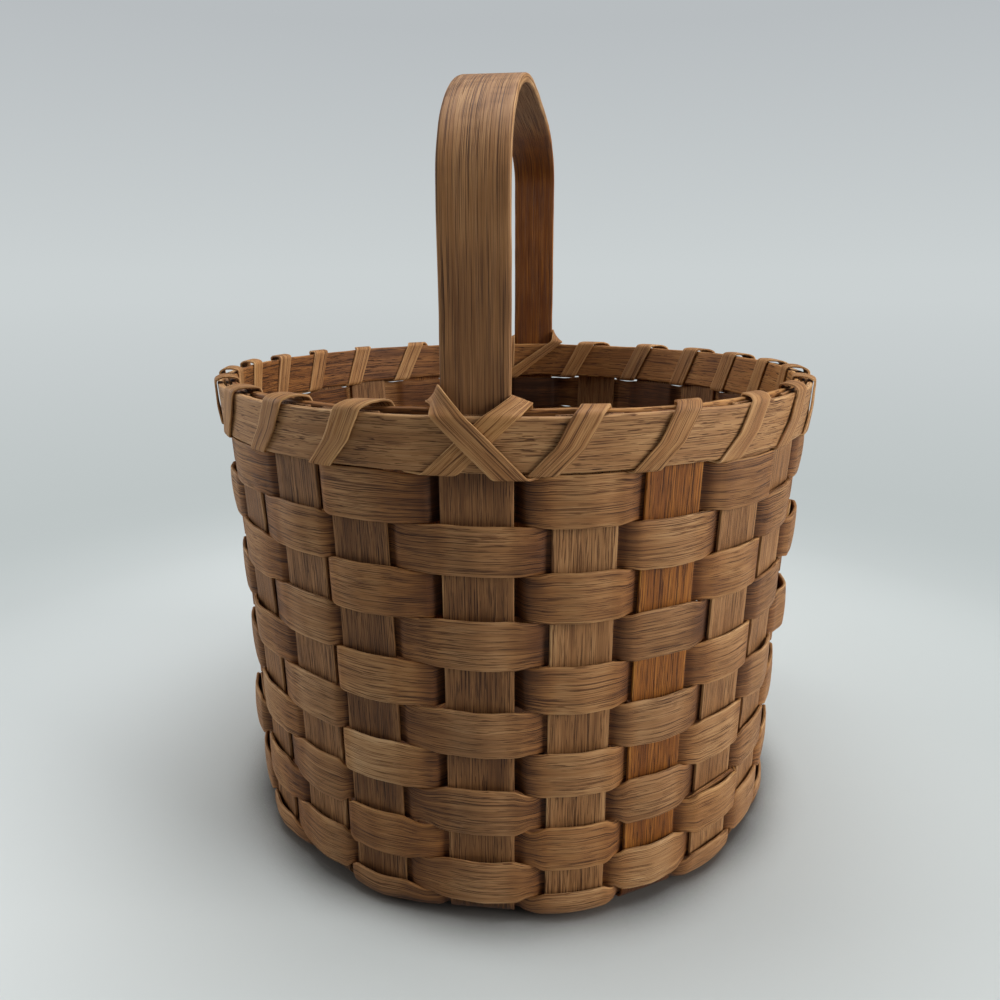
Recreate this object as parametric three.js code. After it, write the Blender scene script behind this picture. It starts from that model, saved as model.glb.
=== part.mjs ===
import * as THREE from 'three';

// Round splint basket with a fixed bent handle, in millimetres, +Z up.
// The origin is the centre of the flat underside. The handle stands over the Y axis, with its
// front leg at -Y. Angles run round the basket from the front leg towards +X.

// Overall shape
const rimOuterRadius = 100; // outside of the outer rim at its top
const rimTopHeight = 151; // top of the outer rim above the underside
const wallFlare = 4; // how much wider the wall stands at the rim than at the corner
const cornerRadius = 4; // bend of the stakes between base and wall
const handleRise = 88; // top of the handle above the outer rim

// Spokes and stakes: a long spoke crosses the base and turns up at both ends,
// and an added stake stands between each two of its arms
const longSpokeCount = 6;
const stakeWidth = 17.4;
const stakeThickness = 0.9;
const spokeWaistWidth = 6.6; // where the long spokes cross
const addedStakeTipWidth = 3.6; // the cut inner end of an added stake
const hubRampLength = 6; // a spoke comes down from the crossing to the base over this length

// The stakes aren't set quite evenly. Each pair is an even angle and the angle where the photo
// shows that stake instead, in degrees. The stakes between two pairs are spread evenly.
const settledAngles = [
  [0, 0], [15, 16.6], [30, 31.2], [45, 46.9], [60, 61.1],
  [150, 145], [165, 162], [180, 180], [195, 196.5], [210, 212], [225, 228],
  [315, 309.7], [330, 327.4], [345, 340.4], [360, 360],
];

// Weavers: the strip lies at its full width over a stake, and cups to fit its row between stakes
const weaverWidth = 14.2;
const weaverThickness = 0.9;
const weaverBulge = 1; // a pass over a stake stands out this far at its middle
const wallRowPitch = 13.3;
const cornerRowPitch = 11.3; // the rows near the corner are packed closer
const baseRowCount = 6; // narrower weavers that fill the base

// Rims
const rimHeight = 14;
const rimThickness = 1.8;
const innerRimRise = 0.5; // the inner rim stands above the outer one
const innerRimEasing = 26; // it comes from the handle to the stakes over this length
const scarfLength = 36; // the tapered ends of a rim lie on each other over this length
const scarfTipThickness = 0.2;
const outerScarfAngle = THREE.MathUtils.degToRad(200);
const innerScarfAngle = THREE.MathUtils.degToRad(55);

// Handle
const handleWidth = 17.5;
const handleThickness = 2.4;
const handleTailLength = 90; // hidden tail below the outer rim
const handleTailThickness = 1.1; // at the end of the tail
const frontBendHeight = 38; // the bent part at the front leg
const frontBendFullness = 2.4; // exponent of the bend, 2 is an ellipse and more is squarer
const rearBendHeight = 24; // the rear leg is bent more sharply
const rearBendFullness = 3.4;

// Lashing
const lashingWidth = 6.2;
const lashingThickness = 0.65;
const lashingLean = 10.5; // a wrap moves this far along the rim on its way up outside
const crossFoot = 8.7; // where an arm of the cross meets the rim's lower edge, from the middle
const crossHead = 6.4; // and its upper edge
const crossLoft = 2.2; // an arm stands up this far beside the handle before it goes over
const underShare = 0.1; // of a wrap's way along the rim, leaving out the climb outside
const overShare = 0.26;
const insideShare = 0.48;

// Fits
const clearance = 0.3; // between two pieces that touch
const edgeClearance = 0.5; // beside the edge of a stake
const rowClearance = 0.35; // between two neighbouring weavers
const slotClearance = 0.9; // beside the ribbon in a slot between two stakes

// Smoothness of the model
const cornerSteps = 4;
const wallSteps = 5;
const rimFacets = 72;
const archSteps = 12;

// Derived layout
const stakeCount = longSpokeCount * 4;
const weaveOffset = (stakeThickness + weaverThickness) / 2 + clearance;
const layerStep = weaverThickness + clearance;
const lashingStep = lashingThickness + clearance;
const facetSagitta = (radius) => radius * (1 - Math.cos(Math.PI / rimFacets));
const stakeSagitta = rimOuterRadius - Math.sqrt(rimOuterRadius ** 2 - (stakeWidth / 2) ** 2);
const outerRimInset = stakeThickness / 2 + clearance + stakeSagitta + facetSagitta(rimOuterRadius);
const outerRimOffset = outerRimInset + rimThickness;
const handleOuterOffset = -(stakeThickness / 2 + clearance);
const innerRimOuterOffset = handleOuterOffset - handleThickness - clearance;
const innerRimInnerOffset = innerRimOuterOffset - rimThickness;
const baseHeight = weaveOffset + weaverThickness / 2;
const stakeTopRadius = rimOuterRadius - outerRimOffset;
const wallRadius = stakeTopRadius - wallFlare;
const cornerStart = wallRadius - cornerRadius;

// The stakes' middle line in a vertical plane through the axis, as a chain of knots.
// s is the length along it from the centre of the base, n the distance out of it.
const wallRadiusAt = (z) => {
  const share = (z - baseHeight - cornerRadius) / (rimTopHeight - baseHeight - cornerRadius);
  return wallRadius + wallFlare * share ** 2;
};

function profileKnots() {
  const knots = [{ r: 0, z: baseHeight }];
  for (let step = 0; step <= cornerSteps; step++) {
    const turn = (step / cornerSteps) * (Math.PI / 2);
    const r = cornerStart + cornerRadius * Math.sin(turn);
    knots.push({ r, z: baseHeight + cornerRadius * (1 - Math.cos(turn)) });
  }
  const wallBottom = baseHeight + cornerRadius;
  const wallTop = rimTopHeight - rimHeight;
  for (let step = 1; step <= wallSteps; step++) {
    const z = THREE.MathUtils.lerp(wallBottom, wallTop, step / wallSteps);
    knots.push({ r: wallRadiusAt(z), z });
  }
  knots.push({ r: stakeTopRadius, z: rimTopHeight });
  return knots;
}

function measuredProfile() {
  const knots = profileKnots();
  knots[0].s = 0;
  for (let i = 1; i < knots.length; i++) {
    const [a, b] = [knots[i - 1], knots[i]];
    const length = Math.hypot(b.r - a.r, b.z - a.z);
    b.s = a.s + length;
    a.normal = new THREE.Vector2((b.z - a.z) / length, (a.r - b.r) / length);
  }
  knots.at(-1).normal = knots.at(-2).normal;
  knots.forEach((knot, i) => {
    const before = knots[Math.max(i - 1, 0)].normal;
    knot.mitre = before.clone().add(knot.normal).divideScalar(1 + before.dot(knot.normal));
  });
  return knots;
}

const profile = measuredProfile();
const topLength = profile.at(-1).s;
const rimBottomLength = profile.at(-2).s;
const cornerEndLength = profile[cornerSteps + 1].s;

// Radius and height of the point at s along the profile and n out of it
function place(s, n) {
  let i = 0;
  while (i < profile.length - 2 && s > profile[i + 1].s) i++;
  const [a, b] = [profile[i], profile[i + 1]];
  const share = (s - a.s) / (b.s - a.s);
  const r = THREE.MathUtils.lerp(a.r + n * a.mitre.x, b.r + n * b.mitre.x, share);
  const z = THREE.MathUtils.lerp(a.z + n * a.mitre.y, b.z + n * b.mitre.y, share);
  return { r, z };
}

// A point beside the plane at an angle: y along the rim, away from the plane
function pointAt(angle, s, y, n) {
  const { r, z } = place(s, n);
  const [sin, cos] = [Math.sin(angle), Math.cos(angle)];
  return new THREE.Vector3(r * sin + y * cos, -r * cos + y * sin, z);
}

// The angle of a stake, or of the slot between two stakes where the number ends in a half
function stakeAngle(number) {
  const turns = Math.floor(number / stakeCount);
  const even = (number / stakeCount - turns) * 360;
  const next = settledAngles.findIndex((pair) => pair[0] > even);
  const [from, to] = [settledAngles[next - 1], settledAngles[next]];
  const degrees = THREE.MathUtils.mapLinear(even, from[0], to[0], from[1], to[1]);
  return 2 * Math.PI * turns + THREE.MathUtils.degToRad(degrees);
}

// A strip is a row of cross-sections. Each section is a list of pairs of points across the
// width, the strip's back and its face.
function strip(sections, closed = false) {
  const across = sections[0].length;
  const ring = 2 * across;
  const positions = [];
  for (const section of sections) {
    const face = section.map((pair) => pair[1]).reverse();
    const back = section.map((pair) => pair[0]);
    for (const point of [...back, ...face]) positions.push(point.x, point.y, point.z);
  }
  const index = [];
  const count = sections.length;
  for (let i = 0; i < (closed ? count : count - 1); i++) {
    const [here, next] = [i * ring, ((i + 1) % count) * ring];
    for (let j = 0; j < ring; j++) {
      const k = (j + 1) % ring;
      index.push(here + j, here + k, next + k, here + j, next + k, next + j);
    }
  }
  if (!closed) {
    const last = (count - 1) * ring;
    for (let j = 0; j < across - 1; j++) {
      const [a, b, c, d] = [j, j + 1, ring - 2 - j, ring - 1 - j];
      index.push(a, c, b, a, d, c);
      index.push(last + a, last + b, last + c, last + a, last + c, last + d);
    }
  }
  return outwardGeometry(positions, index);
}

// The faces of a strip laid the other way round are turned to point outwards
function outwardGeometry(positions, index) {
  const corner = (i) => new THREE.Vector3().fromArray(positions, 3 * index[i]);
  let volume = 0;
  for (let i = 0; i < index.length; i += 3) {
    volume += corner(i).dot(corner(i + 1).cross(corner(i + 2)));
  }
  if (volume < 0) {
    for (let i = 0; i < index.length; i += 3) {
      [index[i + 1], index[i + 2]] = [index[i + 2], index[i + 1]];
    }
  }
  const geometry = new THREE.BufferGeometry();
  geometry.setAttribute('position', new THREE.Float32BufferAttribute(positions, 3));
  geometry.setIndex(index);
  geometry.computeVertexNormals();
  return geometry;
}

// Rows of weavers from the rim down, and the narrower ones that fill the base
const firstRowTop = rimBottomLength - 2 * lashingStep - clearance;
const cornerZone = cornerEndLength + 2 * weaverWidth;
const wallRowCount = Math.floor((firstRowTop - cornerZone) / wallRowPitch);
const cornerRowsTop = firstRowTop - wallRowCount * wallRowPitch;
const cornerRowCount = Math.ceil((cornerRowsTop - cornerStart) / cornerRowPitch);
const rowCount = wallRowCount + cornerRowCount + 1; // the last one lies flat on the base
const onWall = (row) => row <= wallRowCount;
const rowWaist = (row) => (onWall(row) ? wallRowPitch : cornerRowPitch) - rowClearance;

function rowCentre(row) {
  if (onWall(row)) return firstRowTop - (row - 1) * wallRowPitch - rowWaist(row) / 2;
  return cornerRowsTop - (row - wallRowCount - 1) * cornerRowPitch - rowWaist(row) / 2;
}

// The long spokes come off each other where even the closest two have room side by side
const crossingRadius = spokeWaistWidth / 2 + clearance;
const armSpacing = Array.from(
  { length: 2 * longSpokeCount },
  (_, arm) => stakeAngle(2 * arm + 2) - stakeAngle(2 * arm),
);
const hubRadius = crossingRadius / Math.sin(Math.min(...armSpacing) / 2);
const baseWeaveEdge = rowCentre(rowCount) - rowWaist(rowCount) / 2 - rowClearance;
const baseRowSpace = baseWeaveEdge - hubRadius - hubRampLength;
const baseRowPitch = baseRowSpace / baseRowCount;
const baseWeaverWidth = baseRowPitch - rowClearance;
const baseRowCentre = (row) => baseWeaveEdge - (row - 1) * baseRowPitch - baseWeaverWidth / 2;
const innerBaseRowEdge = baseRowCentre(baseRowCount) - baseWeaverWidth / 2;
const addedStakeStart = innerBaseRowEdge + baseWeaverWidth + rowClearance / 2;

// Stakes with an even number are arms of the long spokes, the handle stands at two of them
const isArm = (stake) => stake % 2 === 0;
const hasHandle = (stake) => stake % (stakeCount / 2) === 0;

function stakeWidthAt(stake, s) {
  const narrow = isArm(stake) ? spokeWaistWidth : addedStakeTipWidth;
  const share = (s - addedStakeStart) / (cornerStart - addedStakeStart);
  return THREE.MathUtils.lerp(narrow, stakeWidth, THREE.MathUtils.clamp(share, 0, 1));
}

function stakeSection(stake, s, n = 0, side = 1) {
  const half = (side * stakeWidthAt(stake, s)) / 2;
  const angle = stakeAngle(stake);
  return [-half, half].map((y) => [
    pointAt(angle, s, y, n - stakeThickness / 2),
    pointAt(angle, s, y, n + stakeThickness / 2),
  ]);
}

const stakeKnots = profile.slice(1).map((knot) => knot.s);

function addedStake(stake) {
  return strip([addedStakeStart, ...stakeKnots].map((s) => stakeSection(stake, s)));
}

// The spokes lie on each other at the centre, and come down one by one beside the crossing
function longSpoke(spoke) {
  const raise = -spoke * (stakeThickness + clearance);
  const arm = (stake, side) => [
    stakeSection(stake, hubRadius, raise, side),
    stakeSection(stake, innerBaseRowEdge, 0, side),
    ...[addedStakeStart, ...stakeKnots].map((s) => stakeSection(stake, s, 0, side)),
  ];
  const start = 2 * spoke;
  return strip([...arm(start, 1).reverse(), ...arm(start + stakeCount / 2, -1)]);
}

// Hidden tails of the handle lie against the inside of their stakes
const tailEndLength = rimBottomLength - handleTailLength;

function handleThicknessAt(s) {
  const share = THREE.MathUtils.clamp((rimBottomLength - s) / handleTailLength, 0, 1);
  return THREE.MathUtils.lerp(handleThickness, handleTailThickness, share);
}

// A weaver: over one stake, behind the next. It starts and ends behind a stake, and runs on
// over itself for a few stakes, with the running end outside.
function weaver(options) {
  const { row, centre, width, crownWidth = width, bulge = 0, stakeStep = 1 } = options;
  const { start, overlap } = options;
  const count = stakeCount / stakeStep;
  const inner = profile.filter((k) => Math.abs(k.s - centre) < crownWidth / 2 - clearance);
  const acrossWidth = (w) => {
    const [low, high] = [centre - w / 2, centre + w / 2];
    const bends = inner.map((k) => THREE.MathUtils.clamp(k.s, low + clearance, high - clearance));
    return [low, ...bends, high];
  };
  const section = (stake, w, n, yAt) =>
    acrossWidth(w).map((s) => [
      pointAt(stakeAngle(stake), s, yAt(s), n - weaverThickness / 2),
      pointAt(stakeAngle(stake), s, yAt(s), n + weaverThickness / 2),
    ]);
  const sections = [];
  for (let pass = 0; pass <= count + overlap; pass++) {
    const stake = ((start + pass) * stakeStep) % stakeCount;
    const upper = centre + crownWidth / 2;
    const tucked = hasHandle(stake) && upper > tailEndLength;
    const outside = (start + pass + row) % 2 === 0;
    let n = outside ? weaveOffset : -weaveOffset;
    if (!outside && tucked) n -= handleThicknessAt(upper) + clearance;
    if (!outside && pass <= overlap) n -= layerStep;
    if (outside && pass > count) n += layerStep;
    const besideStake = (s) => {
      const covered = Math.max(stakeWidthAt(stake, s), tucked ? handleWidth : 0);
      return covered / 2 + edgeClearance;
    };
    sections.push(section(stake, width, n, (s) => -besideStake(s)));
    if (outside && crownWidth > width) {
      sections.push(section(stake, crownWidth, n + bulge, () => 0));
    }
    const lastPass = pass === count + overlap;
    const endCut = lastPass ? 2 * edgeClearance : 0;
    sections.push(section(stake, width, n, (s) => besideStake(s) - endCut));
  }
  return strip(sections);
}

// Starts are spread round the basket and keep away from the handle. The weaver starts behind
// a stake, and a row that reaches the underside laps behind one stake alone, to lie flat there.
function weaverRow(row) {
  const half = stakeCount / 2;
  const start = row % 2 ? 2 + ((row - 1) % (half - 4)) : half + 1 + ((row - 2) % (half - 4));
  const centre = rowCentre(row);
  const aboveBase = centre - weaverWidth / 2 > cornerEndLength - cornerRadius;
  return weaver({
    row,
    centre,
    start,
    width: rowWaist(row),
    crownWidth: weaverWidth,
    bulge: aboveBase ? weaverBulge : 0,
    overlap: aboveBase ? 2 : 0,
  });
}

// The innermost base weaver goes round the long spokes alone
function baseWeaver(row) {
  const innermost = row === baseRowCount;
  const weaveRow = rowCount + row;
  return weaver({
    row: weaveRow,
    centre: baseRowCentre(row),
    width: baseWeaverWidth,
    stakeStep: innermost ? 2 : 1,
    start: 1 + (weaveRow % 2) + 2 * (row % 3),
    overlap: 0,
  });
}

// The inner rim goes round the inside of the handle's legs, and away from them it lies against
// the stakes. This is how far out it has come there.
const handleRoom = handleWidth / 2 + lashingWidth + 2 * clearance;
const innerRimSettling = handleThickness + clearance;

function innerRimShift(angle) {
  const fromHandle = Math.abs(Math.asin(Math.sin(angle))) * stakeTopRadius;
  const share = THREE.MathUtils.smoothstep(fromHandle, handleRoom, handleRoom + innerRimEasing);
  return share * innerRimSettling;
}

// A rim is a strip bent to a hoop, with its thinned ends lying on each other
function hoop(backOffset, lift, scarfAngle, shiftAt = () => 0) {
  const lap = scarfLength / rimOuterRadius;
  const facet = (2 * Math.PI) / rimFacets;
  const tip = scarfTipThickness;
  const growth = rimThickness - clearance - 2 * tip;
  const section = (turn, back, face) => {
    const angle = scarfAngle + turn;
    const offset = backOffset + shiftAt(angle);
    return [rimBottomLength + lift, topLength + lift].map((s) => [
      pointAt(angle, s, 0, offset + back),
      pointAt(angle, s, 0, offset + face),
    ]);
  };
  const lapSteps = Math.ceil(lap / facet);
  const sections = [];
  for (let step = 0; step <= lapSteps; step++) {
    const share = step / lapSteps;
    sections.push(section(share * lap, 0, tip + growth * share));
  }
  const free = 2 * Math.PI - lap;
  const freeSteps = Math.round(free / facet);
  for (let step = 1; step < freeSteps; step++) {
    sections.push(section(lap + (step / freeSteps) * free, 0, rimThickness));
  }
  for (let step = 0; step <= lapSteps; step++) {
    const share = step / lapSteps;
    const back = tip + clearance + growth * share;
    sections.push(section(2 * Math.PI + share * lap, back, rimThickness));
  }
  return strip(sections);
}

// One side of the handle, from the end of its tail to the top of the arch.
// side is -1 for the front leg and 1 for the rear one.
function handleLeg(side, bendHeight, fullness) {
  const edges = [-handleWidth / 2, handleWidth / 2];
  const angle = side < 0 ? 0 : Math.PI;
  const lower = [tailEndLength, ...stakeKnots.filter((s) => s > tailEndLength)];
  const sections = lower.map((s) =>
    edges.map((y) => [
      pointAt(angle, s, -side * y, handleOuterOffset - handleThicknessAt(s)),
      pointAt(angle, s, -side * y, handleOuterOffset),
    ]),
  );
  const legRadius = stakeTopRadius + handleOuterOffset - handleThickness / 2;
  const springing = rimTopHeight + handleRise - bendHeight;
  const archRise = bendHeight - handleThickness / 2;
  for (let step = 0; step < archSteps; step++) {
    const turn = (step / archSteps) * (Math.PI / 2);
    const [cos, sin] = [Math.cos(turn), Math.sin(turn)];
    const middle = new THREE.Vector2(
      legRadius * cos ** (2 / fullness),
      springing + archRise * sin ** (2 / fullness),
    );
    const power = 2 - 2 / fullness;
    const normal = new THREE.Vector2(cos ** power / legRadius, sin ** power / archRise);
    normal.setLength(handleThickness / 2);
    sections.push(
      edges.map((x) => [
        new THREE.Vector3(x, side * (middle.x - normal.x), middle.y - normal.y),
        new THREE.Vector3(x, side * (middle.x + normal.x), middle.y + normal.y),
      ]),
    );
  }
  return sections;
}

function handle() {
  const top = rimTopHeight + handleRise;
  const crown = [-handleWidth / 2, handleWidth / 2].map((x) => [
    new THREE.Vector3(x, 0, top - handleThickness),
    new THREE.Vector3(x, 0, top),
  ]);
  const front = handleLeg(-1, frontBendHeight, frontBendFullness);
  const rear = handleLeg(1, rearBendHeight, rearBendFullness);
  return strip([...front, crown, ...rear.reverse()]);
}

// Lashing: a ribbon laid round both rims. A station is a place on its way: an angle round the
// basket, the ribbon's width along the rim there, and a place on the outline of the two rims,
// where out is the direction that the ribbon's face looks. Places that are marked as inner
// follow the inner rim.
const lashingPad = clearance + lashingThickness / 2;
const overInnerRim = topLength + innerRimRise + lashingPad;
const insideRims = innerRimInnerOffset - lashingPad;
const outsideRims = outerRimOffset + lashingPad;
const underRims = rimBottomLength - lashingPad;
const rimOutline = {
  slot: { s: underRims, n: 0, out: [-1, 0] },
  slotMouth: { s: underRims, n: stakeThickness / 2 + lashingPad, out: [-1, 0] },
  outerBottom: { s: underRims, n: outsideRims, out: [-1, 1] },
  outerTop: { s: topLength + lashingPad, n: outsideRims, out: [1, 1] },
  handleFace: { s: overInnerRim + crossLoft, n: handleOuterOffset + lashingPad, out: [1, 0] },
  innerRimFace: { s: overInnerRim, n: innerRimOuterOffset, out: [1, 0], inner: true },
  innerTop: { s: overInnerRim, n: insideRims, out: [1, -1], inner: true },
  innerBottom: { s: underRims, n: insideRims, out: [-1, -1], inner: true },
};

const alongRim = (at, distance) => distance / place(at.s, at.n).r;

function lashingSection({ at, angle, width }, layer) {
  return [-width / 2, width / 2].map((y) => {
    const n = at.n + (at.inner ? innerRimShift(angle + y / stakeTopRadius) : 0);
    return [-0.5, 0.5].map((face) => {
      const shift = layer * lashingStep + face * lashingThickness;
      return pointAt(angle, at.s + at.out[0] * shift, y, n + at.out[1] * shift);
    });
  });
}

// The stations between two corners, on the face of a rim. The ribbon is wider there, measured
// along the rim, because it leans.
function onFace(from, to, outwards, steps) {
  const climb = Math.abs(to.at.s - from.at.s);
  const drift = (to.angle - from.angle) * rimOuterRadius;
  const width = (lashingWidth * Math.hypot(climb, drift)) / climb;
  const stations = [];
  for (let step = 1; step < steps; step++) {
    const share = step / steps;
    const s = THREE.MathUtils.lerp(from.at.s, to.at.s, share);
    const angle = THREE.MathUtils.lerp(from.angle, to.angle, share);
    stations.push({ at: { ...from.at, s, out: [0, outwards] }, angle, width });
  }
  return stations;
}

const gapToInnerRim = outsideRims - innerRimOuterOffset - innerRimSettling;
const wrapWidth = lashingWidth * Math.hypot(1, lashingLean / rimHeight);

// The ribbon is drawn together where it passes between two stakes
function slotWidth(slot) {
  const spacing = stakeAngle(slot + 0.5) - stakeAngle(slot - 0.5);
  const room = spacing * stakeTopRadius - stakeWidth - 2 * slotClearance;
  return Math.min(wrapWidth, room);
}

// One plain wrap, from the slot before a stake to the slot after it. The rest of its way along
// the rim is shared out over the bottom, the top and the inside.
function plainWrap(stake) {
  const station = (name, angle) => ({ at: rimOutline[name], angle, width: wrapWidth });
  const [slotAngle, nextSlotAngle] = [stakeAngle(stake - 0.5), stakeAngle(stake + 0.5)];
  const climb = alongRim(rimOutline.outerTop, lashingLean);
  const rest = nextSlotAngle - slotAngle - climb;
  const outerBottom = station('outerBottom', slotAngle + underShare * rest);
  const outerTop = station('outerTop', outerBottom.angle + climb);
  const overGap = overShare * (gapToInnerRim / (gapToInnerRim + rimThickness));
  const innerTop = station('innerTop', outerTop.angle + overShare * rest);
  const innerBottom = station('innerBottom', innerTop.angle + insideShare * rest);
  return [
    { at: rimOutline.slot, angle: slotAngle, width: slotWidth(stake - 0.5) },
    outerBottom,
    ...onFace(outerBottom, outerTop, 1, 2),
    outerTop,
    station('innerRimFace', outerTop.angle + overGap * rest),
    innerTop,
    ...onFace(innerTop, innerBottom, -1, 2),
    innerBottom,
  ];
}

// The arm that climbs across the handle at a stake, from the slot at one side of it to the
// other side. towards is 1 or -1.
const besideHandle = handleWidth / 2 + clearance + lashingWidth / 2;

function crossArm(stake, towards) {
  const handleAngle = stakeAngle(stake);
  const slotAngle = stakeAngle(stake - towards / 2);
  const station = (name, distance, width = lashingWidth) => {
    const at = rimOutline[name];
    return { at, angle: handleAngle + towards * alongRim(at, distance), width };
  };
  const foot = station('outerBottom', -crossFoot, wrapWidth);
  const head = station('outerTop', crossHead, wrapWidth);
  return [
    { at: rimOutline.slot, angle: slotAngle, width: lashingWidth },
    { at: rimOutline.slotMouth, angle: slotAngle, width: lashingWidth },
    foot,
    ...onFace(foot, head, 1, 5),
    head,
    station('handleFace', besideHandle),
    station('innerRimFace', besideHandle + clearance),
    station('innerTop', besideHandle + clearance),
  ];
}

function footInside(handleAngle) {
  const at = rimOutline.innerBottom;
  const width = wrapWidth;
  const distance = besideHandle + (width - lashingWidth) / 2 + clearance;
  return { at, width, angle: handleAngle + alongRim(at, distance) };
}

function rimLashing() {
  const stations = [];
  for (let stake = 0; stake < stakeCount; stake++) {
    if (hasHandle(stake)) {
      const arm = crossArm(stake, 1);
      const foot = footInside(stakeAngle(stake));
      stations.push(...arm, ...onFace(arm.at(-1), foot, -1, 2), foot);
    } else {
      stations.push(...plainWrap(stake));
    }
  }
  return strip(stations.map((station) => lashingSection(station, 0)), true);
}

// The extra turn that makes the cross lies over the rest of the lashing
function handleLashing(stake) {
  const arm = crossArm(stake, -1);
  const foot = footInside(stakeAngle(stake));
  const stations = [...arm, ...onFace(arm.at(-1), foot, -1, 6), foot];
  return strip(stations.map((station) => lashingSection(station, 1)), true);
}

// Materials
const wood = (color, roughness) => new THREE.MeshStandardMaterial({ color, roughness, metalness: 0 });
const stakeWood = wood(0x93704a, 0.68);
const weaverWood = wood(0xa07c55, 0.65);
const rimWood = wood(0xa58058, 0.6);
const handleWood = wood(0x94714d, 0.58);
const lashingWood = wood(0xab8558, 0.6);

// Assembly
const basket = new THREE.Group();

function add(name, geometry, material) {
  const mesh = new THREE.Mesh(geometry, material);
  mesh.name = name;
  basket.add(mesh);
}

const twoDigits = (number) => String(number).padStart(2, '0');

for (let spoke = 0; spoke < longSpokeCount; spoke++) {
  add(`long_spoke_${spoke + 1}`, longSpoke(spoke), stakeWood);
}
for (let stake = 1; stake < stakeCount; stake += 2) {
  add(`added_stake_${twoDigits((stake + 1) / 2)}`, addedStake(stake), stakeWood);
}
for (let row = 1; row <= rowCount; row++) {
  add(`weaver_row_${twoDigits(row)}`, weaverRow(row), weaverWood);
}
for (let row = 1; row <= baseRowCount; row++) {
  add(`base_weaver_${row}`, baseWeaver(row), weaverWood);
}
add('rim_outer', hoop(outerRimInset, 0, outerScarfAngle), rimWood);
add('rim_inner', hoop(innerRimInnerOffset, innerRimRise, innerScarfAngle, innerRimShift), rimWood);
add('handle', handle(), handleWood);
add('rim_lashing', rimLashing(), lashingWood);
add('handle_lashing_front', handleLashing(0), lashingWood);
add('handle_lashing_rear', handleLashing(stakeCount / 2), lashingWood);

export default basket;
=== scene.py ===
import math

import bpy
import numpy as np
from mathutils import Matrix, Vector


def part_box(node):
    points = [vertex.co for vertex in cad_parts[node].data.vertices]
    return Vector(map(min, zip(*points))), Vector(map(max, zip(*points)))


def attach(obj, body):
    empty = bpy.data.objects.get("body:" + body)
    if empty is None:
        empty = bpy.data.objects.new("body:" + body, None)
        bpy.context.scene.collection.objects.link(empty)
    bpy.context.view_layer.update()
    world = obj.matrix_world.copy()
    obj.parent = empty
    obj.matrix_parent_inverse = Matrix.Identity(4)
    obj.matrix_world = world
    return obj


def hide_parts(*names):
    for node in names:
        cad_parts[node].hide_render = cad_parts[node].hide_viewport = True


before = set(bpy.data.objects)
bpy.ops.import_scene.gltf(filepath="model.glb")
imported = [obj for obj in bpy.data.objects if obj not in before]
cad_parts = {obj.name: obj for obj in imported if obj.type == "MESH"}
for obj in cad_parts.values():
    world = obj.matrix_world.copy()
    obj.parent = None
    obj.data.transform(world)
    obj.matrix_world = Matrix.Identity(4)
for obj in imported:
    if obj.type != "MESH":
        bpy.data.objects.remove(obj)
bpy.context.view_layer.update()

# A woven splint basket with a fixed bent handle. Lengths are in millimetres, as in the part, and
# become metres where a piece is made. Angles run round the basket from the front handle leg
# towards +X. A place on the wall is given by s, the length along the stakes' middle line from the
# centre of the base, and by n, the distance out of that line.
MM = 0.001


def node_box(node):
    return [np.array(corner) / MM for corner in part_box(node)]


rim_box = node_box("rim_outer")
handle_box = node_box("handle")
RIM_TOP = rim_box[1][2]
RIM_BOTTOM = rim_box[0][2]
HANDLE_TOP = handle_box[1][2]
HANDLE_WIDTH = handle_box[1][0] - handle_box[0][0]

STAKES = 24
REAR_LEG = STAKES // 2  # the stake at the rear handle leg; the front leg stands at stake 0
STAKE_WIDTH = 17.4
STAKE_THICKNESS = 0.9
WEAVER_WIDTH = 14.2
WEAVER_THICKNESS = 0.9
WEAVE_OFFSET = 1.2  # between the middle of a stake and the middle of a weaver that passes it
LAYER = 1.2  # between the two laps of a weaver
EDGE_ROOM = 0.5  # a weaver runs straight on for this far beside a stake
BASE_HEIGHT = 1.65
CORNER_RADIUS = 4.0
WALL_RADIUS = 93.0
RIM_MIDDLE_RADIUS = 97.0
WALL_FLARE = RIM_MIDDLE_RADIUS - WALL_RADIUS

RIM_THICKNESS = 1.8
RIM_RISE = 0.5  # how much higher the inner rim stands
OUTER_RIM_BACK = 1.2
INNER_RIM_BACK = -5.25

HANDLE_THICKNESS = 2.4
HANDLE_FACE = -0.75
TAIL_LENGTH = 90.0
TAIL_THICKNESS = 1.1

# The stakes aren't set quite evenly: even angles, and where the photo shows these stakes instead
SETTLED = {0: 0, 15: 16.6, 30: 31.2, 45: 46.9, 60: 61.1, 150: 145, 165: 162, 180: 180}
SETTLED |= {195: 196.5, 210: 212, 225: 228, 315: 309.7, 330: 327.4, 345: 340.4, 360: 360}


def stake_angle(number):
    """The angle of a stake, or of the slot between two stakes where the number ends in a half."""
    turns, rest = np.divmod(np.asarray(number, dtype=float), STAKES)
    settled = np.interp(rest * 360 / STAKES, list(SETTLED), list(SETTLED.values()))
    return np.radians(settled + 360 * turns)


LEG_CLEAR = 15.7  # along the rim from a handle leg, to where the inner rim starts to come out
COMING_OUT = 26.0
LEG_ROOM = 0.2


def inner_rim_shift(angle):
    """The inner rim goes round the handle's legs, and away from them it comes out to the stakes."""
    distance = np.abs(np.arcsin(np.sin(angle))) * RIM_MIDDLE_RADIUS
    share = np.clip((distance - LEG_CLEAR) / COMING_OUT, 0, 1)
    return (3 - 2 * share) * share**2 * (HANDLE_THICKNESS + LEG_ROOM)


# The wall's line

WALL_STEP = 0.5
WALL_SPARE = 30.0  # the line goes on this far above the rim


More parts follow.
